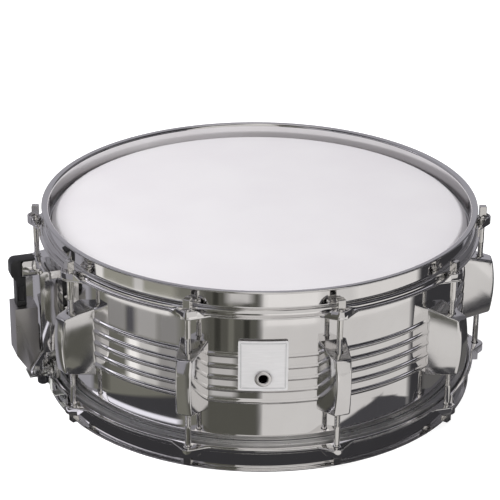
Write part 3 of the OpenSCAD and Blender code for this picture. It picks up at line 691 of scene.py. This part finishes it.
def ear_reach(off):
    """How far the flange reaches, so many degrees from a rod: a rounded ear that fairs into the rim."""
    d = np.radians(np.abs(off))
    reach = math.hypot(EAR_HALF, ROD_CIRCLE - EAR_FOOT)
    a = math.acos(EAR_R / reach) + math.atan2(EAR_FOOT - ROD_CIRCLE, EAR_HALF)
    tx, ty = EAR_R * math.cos(a), ROD_CIRCLE + EAR_R * math.sin(a)
    dx, dy = tx - EAR_HALF, ty - EAR_FOOT
    line = (EAR_HALF * dy - EAR_FOOT * dx) / (np.sin(d) * dy - np.cos(d) * dx)
    round_end = ROD_CIRCLE * np.cos(d) + np.sqrt(np.maximum(EAR_R ** 2 - (ROD_CIRCLE * np.sin(d)) ** 2, 0))
    ear = np.where(d < math.atan2(tx, ty), round_end, line)
    ear = np.where(np.degrees(d) > 9, 0, ear)
    blend = 1.6
    h = np.maximum(blend - np.abs(ear - FLANGE_R), 0) / blend
    return np.maximum(ear, FLANGE_R) + h * h * blend / 4


def ear_lip(lo):
    """The turned edge of one ear: a wall along its outline that rises from the flange to its full height."""
    off = np.linspace(-LIP_SPAN, LIP_SPAN, 81)
    reach = ear_reach(off)
    d = np.radians(off)
    line = np.stack([reach * np.sin(d), reach * np.cos(d)], -1)
    along = np.gradient(line, axis=0)
    along /= np.linalg.norm(along, axis=1)[:, None]
    outwards = np.stack([-along[:, 1], along[:, 0]], -1)
    rise = np.clip((line[:, 1] - 190.6) / 5.2, 0, 1)
    rise = rise * rise * (3 - 2 * rise) * LIP_H
    section = [(-0.05, 0.9), (-0.05, 1.8), (-0.05, -0.45), (-0.25, -0.12), (-0.65, 0), (-1.05, -0.12),
               (-1.25, -0.45), (-1.25, 1.8), (-1.55, 1.45), (-1.55, 0.9)]
    rows = []
    for i, (inset, height) in enumerate(section):
        p = line + outwards * inset
        z = lo + (HOOP_T + np.maximum(rise, 0.1) + height if 2 <= i <= 6 else np.full(len(off), height))
        rows.append(np.stack([p[:, 0], -p[:, 1], z], -1))
    points = np.stack(rows, 1)
    n, k = points.shape[:2]
    faces = ring_faces(n, k, around=False)
    faces += [list(range(k)), list(range((n - 1) * k, n * k))]
    return new_mesh("lip", points.reshape(-1, 3), faces, 40)


def hoop_mesh(gates=False):
    """A triple-flanged hoop, drawn for the top: one bent sheet with an ear on its flange at each rod."""
    hi, lo = TOTAL_H, TOTAL_H - HOOP_D
    bend = 1.9
    mid_skirt, mid_wall = 186.1, 182.1
    line = [(FLANGE_R - 0.9, lo + 0.9, 0), (mid_skirt, lo + 0.9, 1.2), (mid_skirt, hi - STEP_D + 0.9, bend),
            (mid_wall, hi - STEP_D + 0.9, bend), (mid_wall, hi - 0.9, bend), (187 - 0.9, hi - 0.9, 0)]
    outline = bent_sheet(line, HOOP_T, 6)
    ear, mid = 6.6, LUG_STEP / 2
    offsets = np.concatenate([
        np.linspace(-mid, -ear, 10)[:-1], np.linspace(-ear, ear, 85), np.linspace(ear, mid, 10)[1:-1]])
    azimuths = np.concatenate([az + offsets for az in LUG_AZIMUTHS])

    def ears(r, z, az):
        off = (az - LUG_AZ0 + LUG_STEP / 2) % LUG_STEP - LUG_STEP / 2
        flange = (r > 188.5) & (z < lo + 3)
        return r + np.where(flange, ear_reach(off) - FLANGE_R, 0), z

    mesh = lathe("hoop", outline, shape=ears, azimuths=azimuths)
    cuts = [moved(spun("hole", [(0, -2), (3.2, -2), (3.2, 4), (0, 4)], 40), to_azimuth(az, ROD_CIRCLE, lo))
            for az in LUG_AZIMUTHS]
    lips = joined("lips", [moved(ear_lip(lo), to_azimuth(az)) for az in LUG_AZIMUTHS])
    mesh = combine(mesh, lips, "UNION", 40)
    if gates:
        gate = rounded([(-20, -5.7, 3), (20, -5.7, 3), (20, 5.7, 3), (-20, 5.7, 3)], 6, 0.05)
        for az in (STRAINER_AZ, BUTT_AZ):
            block = moved(prism("gate", gate, 178, 184.2), Matrix.Rotation(math.radians(90), 4, "X"))
            cuts.append(moved(block, Matrix.Translation((0, 0, MID_Z + 72.3)) @ to_azimuth(az)))
    return combine(mesh, joined("holes", cuts))


stand_for(hoop_mesh(), "batter_hoop")
stand_for(moved(hoop_mesh(gates=True), UPSIDE_DOWN), "snare_side_hoop")


# ---------------------------------------------------------------- lugs

def lug_solid(inset, foot_w):
    """A lug's outer form from foot_w outwards, inset all round: sloped sides and ends, a barrelled front."""
    front_w, half_foot, slope = 206 - inset, 11.75 - inset, 0.1974
    foot_z, drop = LUG_HALF - inset, 6
    face_z = foot_z - drop

    def half(w):
        return half_foot - slope * (w - 178)

    fronts = [(front_w - 2.6 * (z / face_z) ** 2, z) for z in np.linspace(-face_z, face_z, 21)]
    foot_top = foot_z + (178 - foot_w) * drop / (fronts[0][0] - 178)
    loop = [(foot_w, -foot_top), *fronts, (foot_w, foot_top)]
    n = len(loop)
    points = [(s * half(w), -w, z) for s in (-1, 1) for w, z in loop]
    faces = [list(range(n))[::-1], list(range(n, 2 * n))]
    faces += [[i, (i + 1) % n, n + (i + 1) % n, n + i] for i in range(n)]
    return new_mesh("lug", points, faces)


def lug_mesh():
    """One hollow box lug with its two screw bosses and two rod holes."""
    outer = softened(lug_solid(0, 174), 1.7, 5, 25)
    mesh = combine(outer, lug_solid(2.2, 170))
    pad = spun("pad", [(0, -40), (PAD_R, -40), (PAD_R, 40), (0, 40)], 1440)
    wall_r = SHELL_R + LUG_GAP
    beads = [(r, z - MID_Z) for r, z, _ in wall_line(wall_r, 12)]
    wall = [(0, -60), (wall_r, -60), *beads, (wall_r, 60), (0, 60)]
    bosses = joined("bosses", [radial_bar(3.4, 175, 204.6, 0, s * LUG_SCREW_Z) for s in (-1, 1)])
    mesh = combine(combine(mesh, bosses, "UNION"), spun("wall", wall, 1440))
    mesh = combine(mesh, combine(pad, lug_solid(1.2, 170), "INTERSECT"))
    screws = [radial_bar(2.05, 170, 199, 0, s * LUG_SCREW_Z, 24) for s in (-1, 1)]
    bore = spun("hole", [(0, 12), (3.3, 12), (3.3, 42), (0, 42)], 40)
    rods = [moved(bore, to_azimuth(0, ROD_CIRCLE, z)) for z in (0, -54)]
    return combine(mesh, joined("holes", screws + rods), sharp=28)


LUG_GAP = 0.12
LUG = lug_mesh()
for number, azimuth in enumerate(LUG_AZIMUTHS, 1):
    stand_for(moved(LUG, to_azimuth(azimuth, 0, MID_Z)), f"lug_{number}")


# ---------------------------------------------------------------- rods, nuts and washers

ROD_R = 2.5
THREAD_LO, THREAD_HI = 12.5, 40
EAR_TOP = MID_Z - HOOP_D + HOOP_T
COLLAR_Z = EAR_TOP + 1.5


def rod_mesh():
    """A tension rod, drawn about mid-height: right-hand thread, plain shank, collar, neck and square head."""
    pitch, depth, sides = 1.06, 0.42, 24
    z = np.arange(THREAD_LO, THREAD_HI + 0.01, 0.14)
    a = np.linspace(0, 2 * math.pi, sides, endpoint=False)
    zz, aa = np.meshgrid(z, a, indexing="xy")
    wave = np.abs(((zz / pitch - aa / (2 * math.pi)) % 1) * 2 - 1)
    fade = np.clip(np.minimum((zz - THREAD_LO) / 1.2, (THREAD_HI - zz) / 1.5), 0, 1)
    lead = np.clip((zz - THREAD_LO) / 1.0, 0, 1)
    r = ROD_R - depth * wave * fade - 0.5 * (1 - lead)
    body = [np.stack([r * np.cos(aa), r * np.sin(aa), zz], -1)]
    top = rounded([
        (0, 41, 0), (ROD_R, 41, 0), (ROD_R, COLLAR_Z, 0.25), (5.2, COLLAR_Z, 0.35), (5.2, COLLAR_Z + 2.25, 0.7),
        (3.7, COLLAR_Z + 2.7, 0.8), (3.2, COLLAR_Z + 4.2, 0.2), (0, COLLAR_Z + 4.2, 0)], 5, 0.04)[1:-1]
    upper = np.array([[(p[0] * math.cos(x), p[0] * math.sin(x), p[1]) for p in top] for x in a])
    grid = np.concatenate([body[0], upper], 1)
    rows = grid.shape[1]
    points = grid.reshape(-1, 3).tolist()
    faces = ring_faces(sides, rows, closed=False)
    low, high = len(points), len(points) + 1
    points += [(0, 0, THREAD_LO), (0, 0, COLLAR_Z + 4.2)]
    for k in range(sides):
        k1 = (k + 1) % sides
        faces += [[low, k * rows, k1 * rows], [high, k * rows + rows - 1, k1 * rows + rows - 1]]
    shank = new_mesh("shank", points, faces, 40)
    z0 = COLLAR_Z + 2.25 + 1.3
    half = 3.1
    square = rounded([(-half, -half, 0.5), (half, -half, 0.5), (half, half, 0.5), (-half, half, 0.5)], 3, 0.02)
    n = len(square)
    levels = [(z0, 0.78), (z0 + 0.8, 1.0), (COLLAR_Z + 12.25, 1.0), (COLLAR_Z + 12.85, 0.86)]
    corners = [(x * s, y * s, z) for z, s in levels for x, y in square]
    sides4 = [[k * n + i, k * n + (i + 1) % n, (k + 1) * n + (i + 1) % n, (k + 1) * n + i]
              for k in range(3) for i in range(n)]
    head = new_mesh("head", corners, sides4 + [list(range(n)), list(range(3 * n, 4 * n))], 25)
    return combine(shank, head, "UNION", 30)


def at_rods(mesh):
    """Copies at every rod, above and below. The lower ones are turned over, so threads stay right-handed."""
    over = Matrix.Rotation(math.pi, 4, "Y")
    return [moved(mesh, to_azimuth(az, ROD_CIRCLE, MID_Z) @ turn)
            for az in LUG_AZIMUTHS for turn in (Matrix.Identity(4), over)]


for index, rod in enumerate(at_rods(rod_mesh())):
    side = ("batter", "snare")[index % 2]
    stand_for(rod, f"{side}_rod_{index // 2 + 1}")

NUT = lathe("nut", rounded([
    (ROD_R + 0.05, 13, 0.3), (4.8, 13, 0.5), (4.8, 21.3, 0), (5.3, 21.3, 0.2), (5.3, 23.3, 0.5),
    (ROD_R + 0.05, 23.3, 0.4)], 4, 0.05), 40)
RETAINER = lathe("retainer", rounded([
    (4.85, 14, 0.2), (5.7, 14, 0.3), (5.7, 21.25, 0.3), (4.85, 21.25, 0.2)], 3, 0.05), 32)
WASHER = lathe("washer", rounded([
    (3.0, EAR_TOP + 0.1, 0.15), (5.4, EAR_TOP + 0.1, 0.3), (5.4, EAR_TOP + 1.2, 0.4),
    (3.0, EAR_TOP + 1.2, 0.2)], 4, 0.04), 40)
stand_for(joined("swivel_nuts", at_rods(NUT), 32), "swivel_nuts")
stand_for(joined("nut_retainers", at_rods(RETAINER), 32), "nut_retainers")
stand_for(joined("rod_washers", at_rods(WASHER), 32), "rod_washers")


# ---------------------------------------------------------------- fittings that keep the CAD shape

def plain_copy(node):
    """The CAD node's own shape as clean welded faces."""
    source = NODES[node].data
    mesh = bpy.data.meshes.new(node)
    mesh.from_pydata([v.co[:] for v in source.vertices], [], [p.vertices[:] for p in source.polygons])
    work = bmesh.new()
    work.from_mesh(mesh)
    bmesh.ops.remove_doubles(work, verts=work.verts, dist=0.004 * MM)
    bmesh.ops.dissolve_limit(work, angle_limit=math.radians(1.0), verts=work.verts, edges=work.edges)
    bmesh.ops.recalc_face_normals(work, faces=work.faces)
    work.to_mesh(mesh)
    work.free()
    return mesh


def refined(node, width, material=None):
    """The CAD node's own shape with its sharp edges rounded."""
    return stand_for(softened(plain_copy(node), width, 3, 30), node, material=material)


for name, width in {
    "strainer_housing": 0.55, "throw_off_lever": 0.45, "lever_grip": 0.9, "lever_pin": 0.3,
    "snare_carriage": 0.4, "strainer_clamp_plate": 0.35, "strainer_clamp_screws": 0.25, "tension_knob": 0.25,
    "adjusting_screw": 0.25,
    "butt_plate": 0.6, "butt_clamp_plate": 0.35, "butt_clamp_screws": 0.25, "snare_straps": 0.15,
    "shell_screws": 0.3, "shell_screw_washers": 0.2,
}.items():
    refined(name, width, SATIN if name == "throw_off_lever" else None)


def gaskets_mesh():
    """The CAD gaskets, with those of the lugs drawn in under the castings' skirts."""
    cores = [moved(lug_solid(1.4, 170), to_azimuth(az, 0, MID_Z)) for az in LUG_AZIMUTHS]
    block = [(-30, -215), (30, -215), (30, -170), (-30, -170)]
    cores += [moved(prism("block", block, 0, TOTAL_H), to_azimuth(az)) for az in (STRAINER_AZ, BUTT_AZ)]
    return combine(plain_copy("gaskets"), joined("cores", cores), "INTERSECT")


stand_for(gaskets_mesh(), "gaskets")


# ---------------------------------------------------------------- snares

def coil(t, z, w_end, plate_z):
    """One coiled wire along the snare line, its ends run straight on to the end plates."""
    r, wire, pitch, per_turn = 0.7, 0.2, 2.2, 9
    turns = int(2 * (w_end - 11) / pitch)
    steps = turns * per_turn
    k = np.arange(steps + 1)
    a = 2 * math.pi * k / per_turn
    w = -turns * pitch / 2 + k * pitch / per_turn
    fade = np.clip(np.minimum(k, steps - k) / per_turn, 0, 1)
    low = plate_z + wire
    line = np.stack([t + r * fade * np.cos(a), w, z + r * fade * np.sin(a) + (1 - fade) * (low - z)], -1)
    ends = [(t, s * w, low) for s, ws in ((-1, (w_end, w_end - 5)), (1, (w_end - 5, w_end))) for w in ws]
    line = np.concatenate([ends[:2], line, ends[2:]])
    along = np.gradient(line, axis=0)
    along /= np.linalg.norm(along, axis=1)[:, None]
    side = np.cross(along, (0.37, 0.0, 0.93))
    side /= np.linalg.norm(side, axis=1)[:, None]
    other = np.cross(along, side)
    round_wire = np.linspace(0, 2 * math.pi, 5)[:-1]
    ring = [line + wire * (side * math.cos(b) + other * math.sin(b)) for b in round_wire]
    return np.stack(ring, 1)


def snare_wires_mesh():
    grids, faces, count, total = [], [], 20, 0
    half = 158
    for i in range(count):
        grid = coil((i - (count - 1) / 2) * 2, WIRE_Z, half, WIRE_Z - 0.92)
        n, sides = grid.shape[:2]
        faces += [[total + v for v in f] for f in ring_faces(n, sides, around=False)]
        faces += [[total + v for v in range(sides)], [total + (n - 1) * sides + v for v in range(sides)]]
        grids.append(grid.reshape(-1, 3))
        total += n * sides
    mesh = new_mesh("snare_wires", np.concatenate(grids), faces, 80)
    return moved(mesh, Matrix.Rotation(math.radians(STRAINER_AZ), 4, "Z"))


def end_plates_mesh():
    """Two thin plates with a turned-down lip at each long edge and slots for the straps."""
    top, plates = WIRE_Z - 0.92, []
    for az in (STRAINER_AZ, BUTT_AZ):
        line = [(146.4, top - 2.0, 0), (146.4, top - 0.4, 0.6), (163.6, top - 0.4, 0.6), (163.6, top - 2.0, 0)]
        section = bent_sheet(line, 0.8, 4)
        turn = Matrix.Rotation(math.radians(-90), 4, "Z") @ Matrix.Rotation(math.radians(90), 4, "X")
        sheet = moved(prism("plate", section, -22, 22), turn)
        slots = []
        for s in (-1, 1):
            slot = rounded([(-4.5, -0.8, 0.7), (4.5, -0.8, 0.7), (4.5, 0.8, 0.7), (-4.5, 0.8, 0.7)], 4, 0.03)
            place = Matrix.Translation((s * 11.5, -162, 0))
            slots.append(moved(prism("slot", slot, top - 3, top + 2), place))
        plates.append(moved(combine(softened(sheet, 0.2, 2, 60), joined("slots", slots)), to_azimuth(az)))
    return joined("end_plates", plates, 32)


stand_for(snare_wires_mesh(), "snare_wires")
stand_for(end_plates_mesh(), "snare_end_plates")


# ---------------------------------------------------------------- floor, lights and reflection cards

def staged(name, mesh, material):
    thing = bpy.data.objects.new(name, mesh)
    mesh.materials.append(material)
    bpy.context.scene.collection.objects.link(thing)
    return thing


def glow(name, value):
    material = bpy.data.materials.new(name)
    material.use_nodes = True
    shader = material.node_tree.nodes["Principled BSDF"]
    shader.inputs["Base Color"].default_value = (0, 0, 0, 1)
    shader.inputs["Specular IOR Level"].default_value = 0
    shader.inputs["Emission Color"].default_value = (*value, 1)
    shader.inputs["Emission Strength"].default_value = 1
    edge = material.node_tree.nodes.new("ShaderNodeAttribute")
    edge.attribute_name = "edge"
    material.node_tree.links.new(edge.outputs["Fac"], shader.inputs["Alpha"])
    return material


def only_in_reflections(thing):
    thing.visible_camera = thing.visible_diffuse = thing.visible_shadow = False
    thing.visible_transmission = thing.visible_volume_scatter = False


def seen_in_wall(az, z):
    """The place on the floor, in mm, that the shell mirrors to the camera at an azimuth and height."""
    a = np.radians(az)
    out = np.stack([np.sin(a), -np.cos(a)], -1)
    ray = SHELL_R * out - np.array(CAMERA_AT[:2])
    ray = ray - 2 * np.sum(ray * out, -1, keepdims=True) * out
    spot = SHELL_R * out + ray * (z / (CAMERA_AT[2] - z))[..., None]
    return spot[..., 0], spot[..., 1]


def soft_steps(count, low, high, soft):
    """Places from low to high, reaching half of a soft edge past both, and how solid a card is at each."""
    soft = min(soft, (high - low) * 0.4)
    inside = np.linspace(low + soft / 2, high - soft / 2, count)
    places = np.concatenate([[low - soft / 2], inside, [high + soft / 2]])
    return places, np.array([0.0] + [1.0] * count + [0.0])


def card(name, points, value, solid=None):
    """A glowing sheet over a grid of points, which only reflections show."""
    columns, rows = points.shape[:2]
    mesh = new_mesh(name, points.reshape(-1, 3), ring_faces(columns, rows, around=False, closed=False))
    solid = np.ones(columns * rows) if solid is None else solid.reshape(-1)
    mesh.attributes.new("edge", "FLOAT", "POINT").data.foreach_set("value", solid.astype(np.float32))
    only_in_reflections(staged(name, mesh, glow(name, value)))


def floor_card(number, az0, az1, low, high, value):
    """A card on the floor that shows on the shell between two azimuths and two heights.
    A height may be a pair: at az0 and at az1. Later cards lie over earlier ones."""
    low, high = (h if isinstance(h, tuple) else (h, h) for h in (low, high))
    az, solid_u = soft_steps(23, az0, az1, SOFT_AZ)
    v, solid_v = soft_steps(5, 0, 1, SOFT_H / (high[0] - low[0]))
    az, v = np.meshgrid(az, v, indexing="ij")
    u = (az - az0) / (az1 - az0)
    z = (low[0] + (low[1] - low[0]) * u) * (1 - v) + (high[0] + (high[1] - high[0]) * u) * v
    x, y = seen_in_wall(az, z)
    points = np.stack([x, y, np.full_like(x, 0.25 + 0.05 * number)], -1)
    card(f"card_{number}", points, value, np.outer(solid_u, solid_v))


def sky_card(number, az0, az1, low, high, value):
    """A card far off, between two azimuths and two elevations."""
    az, el = np.radians(np.linspace(az0, az1, 25)), np.radians(np.linspace(low, high, 13))
    az, el = np.meshgrid(az, el, indexing="ij")
    direction = np.stack([np.sin(az) * np.cos(el), -np.cos(az) * np.cos(el), np.sin(el)], -1)
    card(f"sky_{number}", (SKY_R - 10 * number) * direction, value)


def far_card(number, az0, az1, value):
    """The floor from beyond the other cards out to the sky cards."""
    ends = np.array([FAR_R, SKY_R], float)
    az, r = np.meshgrid(np.radians(np.linspace(az0, az1, 25)), ends, indexing="ij")
    card(f"far_{number}", np.stack([r * np.sin(az), -r * np.cos(az), np.full_like(r, 0.15)], -1), value)


def warm(v):
    return (v * 1.035, v * 1.005, v * 0.985)


def cool(v):
    return (v * 0.98, v * 0.96, v * 1.05)


def olive(v):
    return (v * 1.02, v, v * 0.86)


SKY_R = 3200
FAR_R = 380
UNDER_R = 184
SKYLINE_TOP = 72
SOFT_AZ = 2.2
SOFT_H = 1.6
CARDS = [
    # a dark floor under all the others, and a darker ring close beside the drum: the drum's shadow on the
    # floor, painted as cards that only reflections show
    (-91, 91, 4, 171, cool(0.07)),
    (-88, 88, 6.5, 24, cool(0.04)),
    # the right of the front: pale, with the painted shadow of the drum on the floor beside it rising into it
    (-1, 43, 24, 168, warm(0.62)),
    (0, 14, 127, 168, warm(0.80)),
    (23, 43, 127, 168, warm(0.74)),
    (19, 27.2, 24, (31, 42.7), cool(0.065)),
    (24.8, 33, 24, (39.3, 50), cool(0.065)),
    (31, 38.2, 24, (50.2, 45.2), cool(0.065)),
    (35.8, 43, 24, (47, 38), cool(0.065)),
    (43, 49, 24, 168, cool(0.045)),
    (49, 66, 24, 100, warm(0.12)),
    (49, 66, 100, 168, cool(0.04)),
    (66, 88, 24, 168, cool(0.30)),
    # the dark panel left of the badge, and the brighter floor that its flats between the beads show
    (-15, -1, 24, 168, olive(0.09)),
    (-12.5, -11, 102, 168, olive(0.04)),
    (-9, -7.5, 102, 150, olive(0.16)),
    (-5, -3.5, 112, 168, olive(0.035)),
    (-14, -7, 62, 99, warm(0.50)),
    (-9, -3, 150, 168, warm(0.55)),
    # the left
    (-52, -15, 24, 168, olive(0.17)),
    (-45, -38, 103, 127, warm(0.26)),
    (-38, -35, 103, 127, cool(0.09)),
    (-35, -28, 103, 127, warm(0.36)),
    (-28, -22, 103, 127, warm(0.24)),
    (-45, -24, 127, 134, warm(0.80)),
    (-48, -22, 136, 168, olive(0.30)),
    (-47, -44, 138, 168, warm(0.75)),
    (-34, -31, 138, 168, warm(0.55)),
    (-40, -33, 61, 101, warm(0.95)),
    (-34, -27, 61, 101, warm(0.55)),
    (-28, -22, 61, 101, warm(0.30)),
    (-45, -38, 61, 101, olive(0.14)),
    (-52, -45, 40, 103, olive(0.09)),
    # the drum's painted shadow on the floor beside it, as the left of the shell mirrors it
    (-50, -22, 24, (34, 56), cool(0.05)),
    (-50, -22, 29.5, 34, cool(0.95)),
    (-88, -52, 24, 168, cool(0.34)),
    # what the outer edge of the upper hoop's flange shows
    (-50, -20, 143.2, 146.6, warm(0.95)),
]
SKYLINE = [
    (-12, 41, warm(0.60)),
    (41, 104, cool(0.040)),
    (104, 150, cool(0.12)),
    (150, 212, cool(0.36)),
    (212, 260, cool(0.28)),
    (260, 317, cool(0.055)),
    (317, 332, cool(0.30)),
    (332, 348, olive(0.11)),
]
OVERHEAD = [
    (0, 360, SKYLINE_TOP, 90, warm(0.80)),
    (20, 112, 64, 90, cool(0.05)),
    (250, 335, 64, 90, cool(0.05)),
    # softboxes that the hoops' flanges show
    (255, 318, 27.5, 30.5, cool(1.4)),
    (255, 318, 24, 27, cool(1.2)),
    (-42, 40, 27.5, 30.5, warm(0.95)),
    (40, 100, 27.5, 30.5, cool(0.75)),
]
for number, spec in enumerate(CARDS):
    floor_card(number, *spec)
for number, (start, end, value) in enumerate(SKYLINE):
    sky_card(number, start, end, 0, SKYLINE_TOP, value)
    far_card(number, start, end, value)
for number, spec in enumerate(OVERHEAD, len(SKYLINE)):
    sky_card(number, *spec)


def floor():
    """A white floor that glows a little, so that it stays white beside the drum, but not under it."""
    def paint(name, emission):
        paint = Paint(name, (0.88, 0.88, 0.88), roughness=0.9)
        paint.tint(paint.noise(3, 2), (0.87, 0.87, 0.87), (0.89, 0.89, 0.89))
        paint.shader.inputs["Specular IOR Level"].default_value = 0
        paint.shader.inputs["Emission Color"].default_value = (1, 1, 1, 1)
        paint.shader.inputs["Emission Strength"].default_value = emission
        return paint.material

    a = np.linspace(0, 2 * math.pi, 96, endpoint=False)
    rings = [np.stack([r * np.sin(a), -r * np.cos(a), a * 0], -1) for r in (UNDER_R, 20000)]
    points = np.stack(rings, 1).reshape(-1, 3)
    staged("floor", new_mesh("floor", points, ring_faces(96, 2, closed=False)), paint("floor", 0.7))
    staged("floor_under", new_mesh("floor_under", rings[0], [list(range(96))]), paint("floor_under", 0))


def soft_light(name, az, height, distance, size, power):
    """A square softbox at an azimuth, aimed at the drum."""
    data = bpy.data.lights.new(name, "AREA")
    data.shape, data.size, data.energy = "SQUARE", size, power
    light = bpy.data.objects.new(name, data)
    light.location = Vector(at(distance / MM, 0, height / MM, az)) * MM
    light.rotation_mode = "QUATERNION"
    light.rotation_quaternion = (Vector((0, 0, MID_Z * MM)) - light.location).to_track_quat("-Z", "Y")
    light.visible_glossy = False
    bpy.context.scene.collection.objects.link(light)


floor()
soft_light("key", -75, 0.9, 1.0, 0.7, 7.5)

world = bpy.data.worlds.new("studio")
world.use_nodes = True
world.node_tree.nodes["Background"].inputs["Color"].default_value = (1, 1, 1, 1)
world.node_tree.nodes["Background"].inputs["Strength"].default_value = 0.70
bpy.context.scene.world = world
bpy.context.scene.view_settings.view_transform = "Standard"
